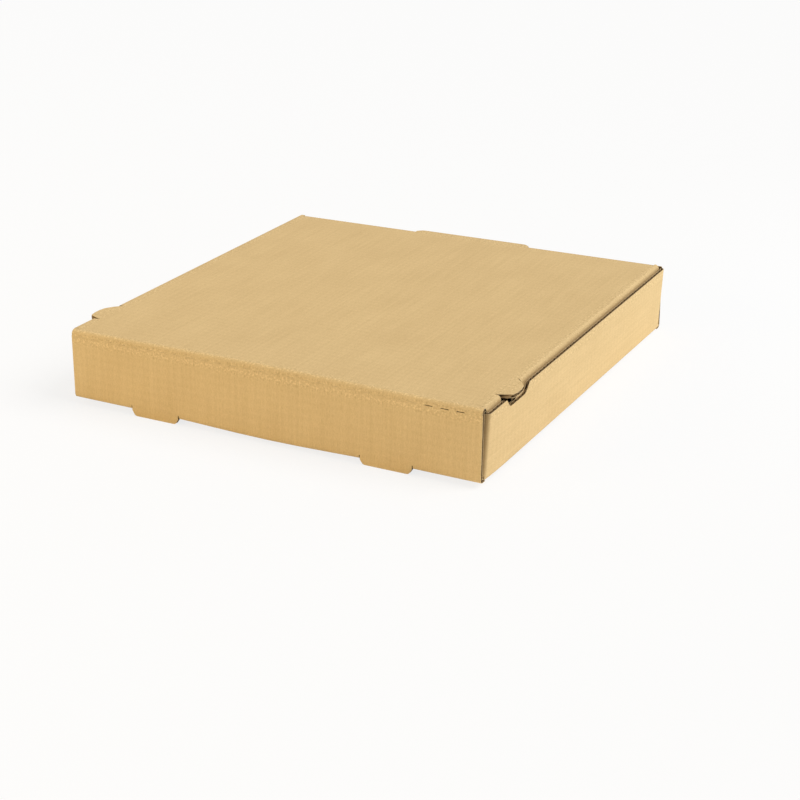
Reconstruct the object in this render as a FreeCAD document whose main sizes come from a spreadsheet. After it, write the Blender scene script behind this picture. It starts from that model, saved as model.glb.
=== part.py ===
import FreeCAD, Part
import Sketcher
import math
import os

# A one-piece pizza box of single-wall corrugated board, closed.
# The blank is folded up into a tray whose rear wall carries the lid on a perforated crease.
# X runs along the hinge, the hinge wall faces -Y, and Z is up.
# The origin is on the ground under the middle of the box, level with the tips of the two rear tabs.

SIZES = {
    # Board
    "board": 2.8,
    "fold_radius": 0.5,
    # Outside of the closed box, from the floor's underside to the lid's top
    "box_width": 358.6,
    "box_depth": 366.0,
    "box_height": 56.0,
    # Walls of the tray
    "wall_lean": 3.2,
    "side_wall_height": 52.5,
    "front_wall_height": 52.8,
    "ply_gap": 0.3,
    "edge_clearance": 0.5,
    # Corner flaps, which turn in from the ends of the side walls
    "rear_flap_length": 104.0,
    "front_flap_length": 76.0,
    "flap_lift": 3.4,
    "flap_step": 2.0,
    "flap_taper": 8.0,
    "lock_width": 35.0,
    "lock_clearance": 1.5,
    "lock_rise": 0.4,
    # Tabs that stay in the plane of the hinge wall and hang below the floor
    "tab_drop": 6.5,
    "tab_centre": 102.0,
    "tab_width": 43.0,
    "tab_taper": 2.6,
    "tab_corner": 2.5,
    "relief_width": 0.8,
    "relief_height": 3.4,
    # Perforated hinge
    "hinge_lip": 0.9,
    "hinge_gap": 0.2,
    "slit_length": 6.35,
    "slit_pitch": 12.7,
    "slit_depth": 0.9,
    "slit_margin": 10.0,
    # Lid
    "lid_clearance": 0.4,
    "lid_flap_height": 38.0,
    "lid_flap_inset": 2.0,
    "lid_flap_taper": 9.0,
    "corner_slit_length": 5.0,
    # Ears that stay in the lid's plane, and the notches under them
    "ear_start": 29.5,
    "ear_length": 38.5,
    "ear_crown": 23.0,
    "ear_reach": 10.8,
    "ear_corner": 5.0,
    "ear_sweep": 15.0,
    "notch_start": 34.0,
    "notch_length": 40.0,
    "notch_slope": 6.0,
    "notch_depth": 10.3,
    "notch_corner": 8.0,
    # Thumb tongue at the middle of the lid's front edge
    "tongue_width": 112.0,
    "tongue_reach": 8.8,
    "tongue_taper": 4.5,
    "tongue_corner": 5.0,
}

# Places that more than one outline shares, worked out from the sizes
HALF_WIDTH = "Sizes.box_width / 2"
HALF_DEPTH = "Sizes.box_depth / 2"
BOARD = "Sizes.board"
INNER = "Sizes.fold_radius"
OUTER = "(Sizes.fold_radius + Sizes.board)"
LEAN = "Sizes.wall_lean"
FLOOR = "Sizes.tab_drop"
FLOOR_TOP = "(Sizes.tab_drop + Sizes.board)"
LID_TOP = "(Sizes.tab_drop + Sizes.box_height)"
LID_UNDER = f"({LID_TOP} - Sizes.board)"
FOLD_END = f"({LID_TOP} - {OUTER} - Sizes.hinge_lip)"
WALL_TOP = f"({FOLD_END} - Sizes.hinge_gap)"
FRONT_TOP = "(Sizes.tab_drop + Sizes.front_wall_height)"
SLANT = f"(Sizes.board / cos({LEAN}))"
FLAP_FACE = f"({HALF_DEPTH} - Sizes.board - Sizes.ply_gap)"
INNER_PLY = f"({HALF_DEPTH} - 3 * Sizes.board - 2 * Sizes.ply_gap)"
LID_FRONT = f"({INNER_PLY} - Sizes.lid_clearance)"
LID_EDGE = f"({HALF_WIDTH} - {SLANT} - Sizes.lid_clearance + Sizes.box_height * tan({LEAN}))"
FLAP_BOTTOM = f"({FOLD_END} - Sizes.lid_flap_height)"
BEYOND = "Sizes.box_depth"

doc = FreeCAD.newDocument("pizza_box")
sheet = doc.addObject("Spreadsheet::Sheet", "Sizes")
for row, (alias, size) in enumerate(SIZES.items(), start=1):
    sheet.set(f"A{row}", alias)
    sheet.set(f"B{row}", str(size))
    sheet.setAlias(f"B{row}", alias)
doc.recompute()


def minus(expression):
    return f"-({expression})"


def mirrored(corners):
    """The same outline on the other side of the sketch's vertical axis."""
    return [(minus(across), up, radius) for across, up, radius in corners]


def new_body(name):
    return doc.addObject("PartDesign::Body", name)


def new_sketch(body, name, role, offset=None):
    """A sketch on one of the body's own planes, moved along its normal by an expression."""
    plane = next(item for item in body.Origin.OriginFeatures if item.Role == role)
    sketch = body.newObject("Sketcher::SketchObject", name)
    sketch.AttachmentSupport = (plane, "")
    sketch.MapMode = "FlatFace"
    if offset:
        sketch.setExpression("AttachmentOffset.Base.z", offset)
    return sketch


def fix(sketch, kind, geometry, point, expression):
    """Hold one coordinate of a point at the value of an expression."""
    value = float(sketch.evalExpression(expression))
    index = sketch.addConstraint(Sketcher.Constraint(kind, -1, 1, geometry, point, value))
    sketch.setExpression(f"Constraints[{index}]", expression)


def outline(sketch, corners):
    """Closed outline of straight lines; a corner is its two coordinates and a radius or None.

    A rounded corner is an arc tangent to both lines, and a point marks where they would meet.
    """
    count = len(corners)
    places = [FreeCAD.Vector(sketch.evalExpression(across), sketch.evalExpression(up), 0)
              for across, up, radius in corners]
    starts = list(places)
    ends = list(places)
    arcs = {}
    for i, (across, up, radius) in enumerate(corners):
        if radius is None:
            continue
        size = float(sketch.evalExpression(radius))
        back = (places[i - 1] - places[i]).normalize()
        ahead = (places[(i + 1) % count] - places[i]).normalize()
        half = back.getAngle(ahead) / 2
        ends[i] = places[i] + back * (size / math.tan(half))
        starts[i] = places[i] + ahead * (size / math.tan(half))
        centre = places[i] + (back + ahead).normalize() * (size / math.sin(half))
        middle = centre + (places[i] - centre).normalize() * size
        arcs[i] = Part.Arc(ends[i], middle, starts[i])
    lines = [sketch.addGeometry(Part.LineSegment(starts[i], ends[(i + 1) % count]))
             for i in range(count)]
    for i, (across, up, radius) in enumerate(corners):
        line_in = lines[i - 1]
        line_out = lines[i]
        if radius is None:
            sketch.addConstraint(Sketcher.Constraint("Coincident", line_in, 2, line_out, 1))
            fix(sketch, "DistanceX", line_out, 1, across)
            fix(sketch, "DistanceY", line_out, 1, up)
            continue
        meeting = sketch.addGeometry(Part.Point(places[i]), True)
        fix(sketch, "DistanceX", meeting, 1, across)
        fix(sketch, "DistanceY", meeting, 1, up)
        sketch.addConstraint(Sketcher.Constraint("PointOnObject", meeting, 1, line_in))
        sketch.addConstraint(Sketcher.Constraint("PointOnObject", meeting, 1, line_out))
        arc = sketch.addGeometry(arcs[i])
        first = 1 if sketch.getPoint(arc, 1).distanceToPoint(ends[i]) < \
            sketch.getPoint(arc, 2).distanceToPoint(ends[i]) else 2
        sketch.addConstraint(Sketcher.Constraint("Tangent", line_in, 2, arc, first))
        sketch.addConstraint(Sketcher.Constraint("Tangent", line_out, 1, arc, 3 - first))
        size = float(sketch.evalExpression(radius))
        index = sketch.addConstraint(Sketcher.Constraint("Radius", arc, size))
        sketch.setExpression(f"Constraints[{index}]", radius)


def check_change(feature, grows):
    """Recompute, and make sure that a pad has added material or a pocket has cut some away."""
    doc.recompute()
    before = feature.BaseFeature.Shape.Volume if feature.BaseFeature else 0.0
    change = feature.Shape.Volume - before
    if (change > 0) != grows or abs(change) < 1e-3:
        raise RuntimeError(f"{feature.Name} changed the volume by {change:.3f}")
    return feature


def pad(body, sketch, name, length, side="One side", backwards=False):
    feature = body.newObject("PartDesign::Pad", name)
    feature.Profile = sketch
    feature.SideType = side
    feature.Reversed = backwards
    feature.setExpression("Length", length)
    return check_change(feature, grows=True)


def pocket(body, sketch, name, length=None, side="One side", backwards=False):
    """A cut of the given length, or through everything where no length is given."""
    feature = body.newObject("PartDesign::Pocket", name)
    feature.Profile = sketch
    feature.SideType = side
    feature.Reversed = backwards
    if length is None:
        feature.Type = "ThroughAll"
    else:
        feature.setExpression("Length", length)
    return check_change(feature, grows=False)


# Spine of the tray: hinge wall, floor and roll-over front wall, bent from one strip
spine = new_body("tray_spine")
section = new_sketch(spine, "spine_section", "YZ_Plane")
outline(section, [
    (minus(HALF_DEPTH), FLOOR, OUTER),
    (minus(HALF_DEPTH), WALL_TOP, None),
    (f"{BOARD} - {HALF_DEPTH}", WALL_TOP, None),
    (f"{BOARD} - {HALF_DEPTH}", FLOOR_TOP, INNER),
    (f"{HALF_DEPTH} - {BOARD}", FLOOR_TOP, INNER),
    (f"{HALF_DEPTH} - {BOARD}", f"{FRONT_TOP} - {BOARD}", INNER),
    (f"{INNER_PLY} + {BOARD}", f"{FRONT_TOP} - {BOARD}", INNER),
    (f"{INNER_PLY} + {BOARD}", f"{FLOOR_TOP} + Sizes.ply_gap", None),
    (INNER_PLY, f"{FLOOR_TOP} + Sizes.ply_gap", None),
    (INNER_PLY, FRONT_TOP, OUTER),
    (HALF_DEPTH, FRONT_TOP, OUTER),
    (HALF_DEPTH, FLOOR, OUTER),
])
pad(spine, section, "spine", "Sizes.box_width - 2 * Sizes.edge_clearance", side="Symmetric")

# The inner ply and the top of the roll-over stop short of the side walls
PLY_END = f"({HALF_WIDTH} - {SLANT} - Sizes.edge_clearance)"
ply_ends = new_sketch(spine, "ply_ends_outline", "XY_Plane", offset=FLOOR_TOP)
ply_end = [
    (PLY_END, f"{INNER_PLY} - {BOARD}", None),
    (BEYOND, f"{INNER_PLY} - {BOARD}", None),
    (BEYOND, f"{HALF_DEPTH} - {BOARD}", None),
    (PLY_END, f"{HALF_DEPTH} - {BOARD}", None),
]
outline(ply_ends, ply_end)
outline(ply_ends, mirrored(ply_end))
pocket(spine, ply_ends, "ply_ends", backwards=True)

# Floor and the lower bends of the leaning side walls
STUB = f"({OUTER} + {BOARD})"
side_bends = new_sketch(spine, "side_bends_section", "XZ_Plane")
stub_rise = [
    (HALF_WIDTH, FLOOR, OUTER),
    (f"{HALF_WIDTH} + {STUB} * tan({LEAN})", f"{FLOOR} + {STUB}", None),
    (f"{HALF_WIDTH} + {STUB} * tan({LEAN}) - {BOARD} * cos({LEAN})",
     f"{FLOOR} + {STUB} + {BOARD} * sin({LEAN})", None),
    (f"{HALF_WIDTH} + {BOARD} * tan({LEAN}) - {SLANT}", FLOOR_TOP, INNER),
]
outline(side_bends, stub_rise + mirrored(stub_rise)[::-1])
pad(spine, side_bends, "side_bends", f"2 * ({FLAP_FACE} - {OUTER})", side="Symmetric")

# Rear tabs in the plane of the hinge wall, and the slots that they leave in the floor
TAB_HALF = "Sizes.tab_width / 2"
TAB_INSIDE = f"(Sizes.tab_centre - {TAB_HALF})"
TAB_OUTSIDE = f"(Sizes.tab_centre + {TAB_HALF})"
rear_slots = new_sketch(spine, "rear_slots_outline", "XY_Plane", offset=FLOOR)
rear_slot = [
    (TAB_INSIDE, f"{BOARD} - {HALF_DEPTH}", None),
    (TAB_OUTSIDE, f"{BOARD} - {HALF_DEPTH}", None),
    (TAB_OUTSIDE, f"{BOARD} - {HALF_DEPTH} + Sizes.tab_drop", "Sizes.tab_corner"),
    (TAB_INSIDE, f"{BOARD} - {HALF_DEPTH} + Sizes.tab_drop", "Sizes.tab_corner"),
]
outline(rear_slots, rear_slot)
outline(rear_slots, mirrored(rear_slot))
pocket(spine, rear_slots, "rear_slots", f"{OUTER}", backwards=True)
tabs = new_sketch(spine, "tabs_outline", "XZ_Plane", offset=HALF_DEPTH)
tab = [
    (TAB_INSIDE, f"{FLOOR} + {OUTER} + Sizes.fold_radius", None),
    (TAB_INSIDE, FLOOR, None),
    (f"{TAB_INSIDE} + Sizes.tab_taper", "0", "Sizes.tab_corner"),
    (f"{TAB_OUTSIDE} - Sizes.tab_taper", "0", "Sizes.tab_corner"),
    (TAB_OUTSIDE, FLOOR, None),
    (TAB_OUTSIDE, f"{FLOOR} + {OUTER} + Sizes.fold_radius", None),
]
outline(tabs, tab)
outline(tabs, mirrored(tab))
pad(spine, tabs, "tabs", BOARD, backwards=True)
reliefs = new_sketch(spine, "reliefs_outline", "XZ_Plane", offset=HALF_DEPTH)
for edge, away in ((TAB_INSIDE, minus("Sizes.relief_width")), (TAB_OUTSIDE, "Sizes.relief_width")):
    relief = [
        (edge, f"{FLOOR} - {BOARD}", None),
        (f"{edge} + {away}", f"{FLOOR} - {BOARD}", None),
        (f"{edge} + {away}", f"{FLOOR} + Sizes.relief_height", None),
        (edge, f"{FLOOR} + Sizes.relief_height", None),
    ]
    outline(reliefs, relief)
    outline(reliefs, mirrored(relief))
pocket(spine, reliefs, "reliefs", f"{BOARD} + {OUTER}")

# Slots and locking tabs of the inner ply
LOCK_HALF = "Sizes.lock_width / 2"
LOCK_INSIDE = f"(Sizes.tab_centre - {LOCK_HALF})"
LOCK_OUTSIDE = f"(Sizes.tab_centre + {LOCK_HALF})"
front_slots = new_sketch(spine, "front_slots_outline", "XY_Plane", offset=FLOOR)
front_slot = [
    (f"{LOCK_INSIDE} - Sizes.lock_clearance", f"{INNER_PLY} - Sizes.ply_gap", None),
    (f"{LOCK_OUTSIDE} + Sizes.lock_clearance", f"{INNER_PLY} - Sizes.ply_gap", None),
    (f"{LOCK_OUTSIDE} + Sizes.lock_clearance", f"{INNER_PLY} + {BOARD} + Sizes.ply_gap", None),
    (f"{LOCK_INSIDE} - Sizes.lock_clearance", f"{INNER_PLY} + {BOARD} + Sizes.ply_gap", None),
]
outline(front_slots, front_slot)
outline(front_slots, mirrored(front_slot))
pocket(spine, front_slots, "front_slots", BOARD, backwards=True)
locks = new_sketch(spine, "locks_outline", "XZ_Plane", offset=minus(INNER_PLY))
lock = [
    (LOCK_INSIDE, f"{FLOOR_TOP} + {BOARD}", None),
    (LOCK_INSIDE, f"{FLOOR} + Sizes.lock_rise", "Sizes.lock_clearance"),
    (LOCK_OUTSIDE, f"{FLOOR} + Sizes.lock_rise", "Sizes.lock_clearance"),
    (LOCK_OUTSIDE, f"{FLOOR_TOP} + {BOARD}", None),
]
outline(locks, lock)
outline(locks, mirrored(lock))
pad(spine, locks, "locks", BOARD, backwards=True)

# Perforation slits along the top of the hinge wall
slit_outline = new_sketch(spine, "slit_outline", "XZ_Plane", offset=HALF_DEPTH)
SLIT_ROOM = "(Sizes.box_width - 2 * Sizes.slit_margin - Sizes.slit_length)"
SLIT_STEPS = f"floor({SLIT_ROOM} / Sizes.slit_pitch)"
SLIT_START = f"(-({SLIT_STEPS}) * Sizes.slit_pitch / 2 - Sizes.slit_length / 2)"
outline(slit_outline, [
    (SLIT_START, f"{WALL_TOP} - Sizes.slit_depth", None),
    (f"{SLIT_START} + Sizes.slit_length", f"{WALL_TOP} - Sizes.slit_depth", None),
    (f"{SLIT_START} + Sizes.slit_length", LID_TOP, None),
    (SLIT_START, LID_TOP, None),
])
slit = pocket(spine, slit_outline, "slit", BOARD)
slits = spine.newObject("PartDesign::LinearPattern", "slits")
slits.Originals = [slit]
slits.Direction = (slit_outline, ["H_Axis"])
slits.Mode = "Spacing"
slits.setExpression("Offset", "Sizes.slit_pitch")
slits.setExpression("Occurrences", f"{SLIT_STEPS} + 1")
spine.Tip = slits
check_change(slits, grows=False)


# Side walls with their corner flaps, built upright with the outer face in the YZ plane
side = new_body("side_wall")
LEANING_HEIGHT = f"(Sizes.side_wall_height / cos({LEAN}))"
wall_plan = new_sketch(side, "wall_plan", "XY_Plane", offset="Sizes.flap_lift")
outline(wall_plan, [
    (minus("Sizes.rear_flap_length"), minus(FLAP_FACE), None),
    ("0", minus(FLAP_FACE), OUTER),
    ("0", FLAP_FACE, OUTER),
    (minus("Sizes.front_flap_length"), FLAP_FACE, None),
    (minus("Sizes.front_flap_length"), f"{FLAP_FACE} - {BOARD}", None),
    (minus(BOARD), f"{FLAP_FACE} - {BOARD}", INNER),
    (minus(BOARD), f"{BOARD} - {FLAP_FACE}", INNER),
    (minus("Sizes.rear_flap_length"), f"{BOARD} - {FLAP_FACE}", None),
])
pad(side, wall_plan, "wall_and_flaps", f"{LEANING_HEIGHT} - Sizes.flap_lift")

# The corner flaps start a step below the wall's top, and get lower towards their free ends
FLAP_TOP = f"({LEANING_HEIGHT} - Sizes.flap_step)"
flap_tops = new_sketch(side, "flap_tops_outline", "XZ_Plane")
outline(flap_tops, [
    (minus(BOARD), FLAP_TOP, None),
    (minus("Sizes.rear_flap_length + Sizes.board"),
     f"{FLAP_TOP} - Sizes.rear_flap_length * tan(Sizes.flap_taper)", None),
    (minus("Sizes.rear_flap_length + Sizes.board"), f"{LEANING_HEIGHT} + {BOARD}", None),
    (minus(BOARD), f"{LEANING_HEIGHT} + {BOARD}", None),
])
pocket(side, flap_tops, "flap_tops", side="Symmetric")

# Locking tab of the rear corner flap, level with the floor's underside once the wall leans
lock_near = f"({HALF_WIDTH} - {LOCK_OUTSIDE})"
lock_far = f"({HALF_WIDTH} - {LOCK_INSIDE})"
rear_lock = new_sketch(side, "rear_lock_outline", "XZ_Plane", offset=FLAP_FACE)
outline(rear_lock, [
    (minus(lock_near), f"Sizes.flap_lift + {BOARD}", None),
    (minus(lock_near), f"(Sizes.lock_rise - {lock_near} * sin({LEAN})) / cos({LEAN})",
     "Sizes.lock_clearance"),
    (minus(lock_far), f"(Sizes.lock_rise - {lock_far} * sin({LEAN})) / cos({LEAN})",
     "Sizes.lock_clearance"),
    (minus(lock_far), f"Sizes.flap_lift + {BOARD}", None),
])
pad(side, rear_lock, "rear_lock", BOARD, backwards=True)

# Notch under the lid's ear
NOTCH_REAR = f"(Sizes.notch_start - {HALF_DEPTH})"
NOTCH_FRONT = f"({NOTCH_REAR} + Sizes.notch_length)"
notch = new_sketch(side, "notch_outline", "YZ_Plane")
outline(notch, [
    (NOTCH_REAR, LEANING_HEIGHT, None),
    (f"{NOTCH_REAR} + Sizes.notch_slope", f"{LEANING_HEIGHT} - Sizes.notch_depth",
     "Sizes.notch_corner"),
    (f"{NOTCH_FRONT} - Sizes.notch_slope", f"{LEANING_HEIGHT} - Sizes.notch_depth",
     "Sizes.notch_corner"),
    (NOTCH_FRONT, LEANING_HEIGHT, None),
    (NOTCH_FRONT, f"{LEANING_HEIGHT} + {BOARD}", None),
    (NOTCH_REAR, f"{LEANING_HEIGHT} + {BOARD}", None),
])
pocket(side, notch, "notch", f"2 * {OUTER}", side="Symmetric")

# The finished side wall leans out from the floor's edge, and its mirror image stands opposite
side.Placement.Rotation = FreeCAD.Rotation(FreeCAD.Vector(0, 1, 0), SIZES["wall_lean"])
side.setExpression("Placement.Rotation.Angle", LEAN)
side.setExpression("Placement.Base.x", HALF_WIDTH)
side.setExpression("Placement.Base.z", FLOOR)
opposite = doc.addObject("Part::Mirroring", "opposite_side_wall")
opposite.Source = side
opposite.Normal = FreeCAD.Vector(1, 0, 0)
tray = doc.addObject("Part::MultiFuse", "tray_blank")
tray.Label = "tray"
tray.Shapes = [spine, side, opposite]
tray.Refine = True
doc.recompute()

# Lid: the panel with its hinge bend at the rear and its tuck flap at the front
lid = new_body("lid_blank")
lid.Label = "lid"
BEND_REACH = f"({OUTER} / tan(45 - {LEAN} / 2) + Sizes.fold_radius)"
SIDE_BEND = f"({LID_EDGE} - {BEND_REACH})"
FRONT_BEND = f"({LID_FRONT} - {BEND_REACH})"
FLAP_DROP = f"({LID_TOP} - {FLAP_BOTTOM})"


def hanging_flap(edge):
    """Corners of a flap that hangs from the lid's edge and leans in like the tray's walls."""
    return [
        (edge, LID_TOP, OUTER),
        (f"{edge} - {FLAP_DROP} * tan({LEAN})", FLAP_BOTTOM, None),
        (f"{edge} - {FLAP_DROP} * tan({LEAN}) - {BOARD} * cos({LEAN})",
         f"{FLAP_BOTTOM} + {BOARD} * sin({LEAN})", None),
        (f"{edge} - {BOARD} * tan({LEAN}) - {SLANT}", LID_UNDER, INNER),
    ]


lid_section = new_sketch(lid, "lid_section", "YZ_Plane")
outline(lid_section, hanging_flap(LID_FRONT) + [
    (f"{BOARD} - {HALF_DEPTH}", LID_UNDER, INNER),
    (f"{BOARD} - {HALF_DEPTH}", FOLD_END, None),
    (minus(HALF_DEPTH), FOLD_END, None),
    (minus(HALF_DEPTH), LID_TOP, OUTER),
])
pad(lid, lid_section, "lid_panel", f"2 * {SIDE_BEND}", side="Symmetric")

# Side bends and side flaps
REAR_END = f"({HALF_DEPTH} - Sizes.edge_clearance)"
flap_section = new_sketch(lid, "side_flap_section", "XZ_Plane", offset=REAR_END)
side_flap = hanging_flap(LID_EDGE) + [(SIDE_BEND, LID_UNDER, None), (SIDE_BEND, LID_TOP, None)]
outline(flap_section, side_flap)
outline(flap_section, mirrored(side_flap))
pad(lid, flap_section, "side_flaps", f"{REAR_END} + {LID_FRONT} - Sizes.edge_clearance",
    backwards=True)

# Ends of the side flaps, cut back from the corner flaps and from the tuck flap
SIDE_REAR = f"({BOARD} - {FLAP_FACE} + Sizes.lid_flap_inset)"
SIDE_FRONT = f"({FRONT_BEND} - Sizes.lid_flap_inset)"
CUT_BOTTOM = f"({FLAP_BOTTOM} - {BOARD})"
side_trim = new_sketch(lid, "side_flap_ends", "YZ_Plane")
outline(side_trim, [
    (minus(BEYOND), FOLD_END, None),
    (SIDE_REAR, FOLD_END, None),
    (f"{SIDE_REAR} + Sizes.lid_flap_taper", CUT_BOTTOM, None),
    (minus(BEYOND), CUT_BOTTOM, None),
])
pocket(lid, side_trim, "side_flap_rear_ends", side="Symmetric")
TUCK_END = f"({SIDE_BEND} - {FLAP_DROP} * tan({LEAN}) - {BOARD})"
corner_cut = [
    (BEYOND, FOLD_END, None),
    (SIDE_FRONT, FOLD_END, None),
    (f"{SIDE_FRONT} - Sizes.lid_flap_taper", CUT_BOTTOM, None),
    (BEYOND, CUT_BOTTOM, None),
]
for hand, place, backwards in (("right", TUCK_END, True), ("left", minus(TUCK_END), False)):
    corner = new_sketch(lid, f"{hand}_front_corner_outline", "YZ_Plane", offset=place)
    outline(corner, corner_cut)
    pocket(lid, corner, f"{hand}_front_corner", backwards=backwards)
tuck_ends = new_sketch(lid, "tuck_flap_ends_outline", "XZ_Plane", offset=minus(SIDE_FRONT))
tuck_end = [
    (TUCK_END, FOLD_END, None),
    (f"{TUCK_END} - Sizes.lid_flap_taper", CUT_BOTTOM, None),
    (f"{TUCK_END} + {BOARD}", CUT_BOTTOM, None),
    (f"{TUCK_END} + {BOARD}", FOLD_END, None),
]
outline(tuck_ends, tuck_end)
outline(tuck_ends, mirrored(tuck_end))
pocket(lid, tuck_ends, "tuck_flap_ends")


def window_bottom(span):
    """Height down to which a flap is open where an ear of this span stays flat.

    The span runs over the bend, which is a quarter turn of the outer radius, and down the flap.
    """
    return f"({LID_TOP} - ({span}) - {OUTER} * (1 - pi / 2))"


# Ears at both side edges, and the windows that they leave in the bends and flaps
EAR_REAR = f"(Sizes.ear_start - {HALF_DEPTH})"
EAR_CROWN = f"({EAR_REAR} + Sizes.ear_crown)"
EAR_FRONT = f"({EAR_REAR} + Sizes.ear_length)"
EAR_TIP = f"({HALF_WIDTH} + Sizes.ear_reach)"
FLAP_INSIDE = f"({SIDE_BEND} - {BOARD})"
EAR_WINDOW = window_bottom(f"{EAR_TIP} - {SIDE_BEND}")
window = [
    (EAR_REAR, FOLD_END, None),
    (EAR_REAR, EAR_WINDOW, "Sizes.ear_corner"),
    (EAR_CROWN, EAR_WINDOW, "Sizes.ear_corner"),
    (EAR_FRONT, FOLD_END, None),
]
bend_window = [
    (EAR_REAR, f"{FOLD_END} - Sizes.fold_radius", None),
    (EAR_FRONT, f"{FOLD_END} - Sizes.fold_radius", None),
    (EAR_FRONT, f"{LID_TOP} + {BOARD}", None),
    (EAR_REAR, f"{LID_TOP} + {BOARD}", None),
]
for hand, sign, backwards in (("right", "1", True), ("left", "-1", False)):
    for cut, place, corners in (("flap", FLAP_INSIDE, window), ("bend", SIDE_BEND, bend_window)):
        opening = new_sketch(lid, f"{hand}_{cut}_outline", "YZ_Plane", offset=f"{sign} * {place}")
        outline(opening, corners)
        pocket(lid, opening, f"{hand}_{cut}_cut", backwards=backwards)

ears = new_sketch(lid, "ears_outline", "XY_Plane", offset=LID_UNDER)
ear = [
    (f"{SIDE_BEND} - {BOARD}", EAR_REAR, None),
    (EAR_TIP, EAR_REAR, "Sizes.ear_corner"),
    (EAR_TIP, EAR_CROWN, "Sizes.ear_sweep"),
    (f"{SIDE_BEND} + {INNER}", EAR_FRONT, None),
    (f"{SIDE_BEND} - {BOARD}", EAR_FRONT, None),
]
outline(ears, ear)
outline(ears, mirrored(ear))
pad(lid, ears, "ears", BOARD)

# Thumb tongue at the front edge, and its window in the tuck flap
TONGUE_HALF = "(Sizes.tongue_width / 2)"
TONGUE_TIP = f"({LID_FRONT} + Sizes.tongue_reach)"
TONGUE_WINDOW = window_bottom(f"{TONGUE_TIP} - {FRONT_BEND}")
tongue_window = new_sketch(lid, "tongue_window_outline", "XZ_Plane", offset=minus(SIDE_FRONT))
outline(tongue_window, [
    (minus(TONGUE_HALF), FOLD_END, None),
    (f"Sizes.tongue_taper - {TONGUE_HALF}", TONGUE_WINDOW, "Sizes.tongue_corner"),
    (f"{TONGUE_HALF} - Sizes.tongue_taper", TONGUE_WINDOW, "Sizes.tongue_corner"),
    (TONGUE_HALF, FOLD_END, None),
])
pocket(lid, tongue_window, "tongue_window")
tongue_bend = new_sketch(lid, "tongue_bend_outline", "XZ_Plane", offset=minus(FRONT_BEND))
outline(tongue_bend, [
    (minus(TONGUE_HALF), f"{FOLD_END} - Sizes.fold_radius", None),
    (TONGUE_HALF, f"{FOLD_END} - Sizes.fold_radius", None),
    (TONGUE_HALF, f"{LID_TOP} + {BOARD}", None),
    (minus(TONGUE_HALF), f"{LID_TOP} + {BOARD}", None),
])
pocket(lid, tongue_bend, "tongue_bend")
tongue = new_sketch(lid, "tongue_outline", "XY_Plane", offset=LID_UNDER)
outline(tongue, [
    (minus(TONGUE_HALF), f"{FRONT_BEND} - {BOARD}", None),
    (TONGUE_HALF, f"{FRONT_BEND} - {BOARD}", None),
    (TONGUE_HALF, LID_FRONT, None),
    (f"{TONGUE_HALF} - Sizes.tongue_taper", TONGUE_TIP, "Sizes.tongue_corner"),
    (f"Sizes.tongue_taper - {TONGUE_HALF}", TONGUE_TIP, "Sizes.tongue_corner"),
    (minus(TONGUE_HALF), LID_FRONT, None),
])
pad(lid, tongue, "tongue", BOARD)

# Slits that part the side bends from the hinge bend and from the front bend
corner_slits = new_sketch(lid, "corner_slits_outline", "XY_Plane", offset=f"{LID_TOP} + {BOARD}")
for inner_end, outer_end in (
    (f"Sizes.corner_slit_length - {HALF_DEPTH}", minus(HALF_DEPTH)),
    (f"{LID_FRONT} - Sizes.corner_slit_length", f"{LID_FRONT} + Sizes.tongue_reach"),
):
    corner_slit = [
        (f"{SIDE_BEND} - Sizes.relief_width", inner_end, None),
        (SIDE_BEND, inner_end, None),
        (SIDE_BEND, outer_end, None),
        (f"{SIDE_BEND} - Sizes.relief_width", outer_end, None),
    ]
    outline(corner_slits, corner_slit)
    outline(corner_slits, mirrored(corner_slit))
pocket(lid, corner_slits, "corner_slits", f"{OUTER} + {BOARD} + Sizes.hinge_lip")

doc.recompute()
for item in doc.Objects:
    if any(mark in item.State for mark in ("Invalid", "Error")):
        raise RuntimeError(f"{item.Name} did not build: {item.State}")

os.makedirs("parts", exist_ok=True)
for part in (tray, lid):
    shape = part.Shape
    if shape.isNull() or not shape.isValid() or len(shape.Solids) != 1:
        raise RuntimeError(f"{part.Label} is not one valid solid")
    shape.exportStep(f"parts/{part.Label}.step")
    print(part.Label, "volume", round(shape.Volume), "mm3, box", shape.BoundBox)
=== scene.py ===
import math

import bpy
import numpy as np
from mathutils import Matrix, Vector


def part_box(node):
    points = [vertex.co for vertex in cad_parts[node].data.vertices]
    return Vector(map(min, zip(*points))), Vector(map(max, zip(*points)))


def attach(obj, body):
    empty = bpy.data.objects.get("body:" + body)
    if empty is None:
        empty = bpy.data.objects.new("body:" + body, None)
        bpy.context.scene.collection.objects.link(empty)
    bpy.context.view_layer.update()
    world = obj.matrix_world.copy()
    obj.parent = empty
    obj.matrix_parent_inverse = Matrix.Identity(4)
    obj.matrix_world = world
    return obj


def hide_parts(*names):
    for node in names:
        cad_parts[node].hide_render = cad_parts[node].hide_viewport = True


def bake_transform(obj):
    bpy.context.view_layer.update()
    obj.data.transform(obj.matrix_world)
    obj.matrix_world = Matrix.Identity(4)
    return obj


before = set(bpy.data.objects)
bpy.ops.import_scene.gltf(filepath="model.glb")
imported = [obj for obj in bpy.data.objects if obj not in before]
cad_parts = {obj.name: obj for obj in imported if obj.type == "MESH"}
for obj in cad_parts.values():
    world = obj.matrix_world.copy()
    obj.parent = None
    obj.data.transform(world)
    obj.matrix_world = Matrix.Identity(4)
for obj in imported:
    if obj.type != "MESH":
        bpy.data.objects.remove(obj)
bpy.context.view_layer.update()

# The box is one blank of corrugated board, so each piece below is a sheet of it in its folded place.
# On the flat blank u runs along the flutes and v across them. All lengths are in millimetres.
MM = 0.001


def box_in_mm(node):
    """Lowest and highest corner of a node, in millimetres."""
    return [np.round(np.array(corner) / MM, 3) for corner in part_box(node)]


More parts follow.
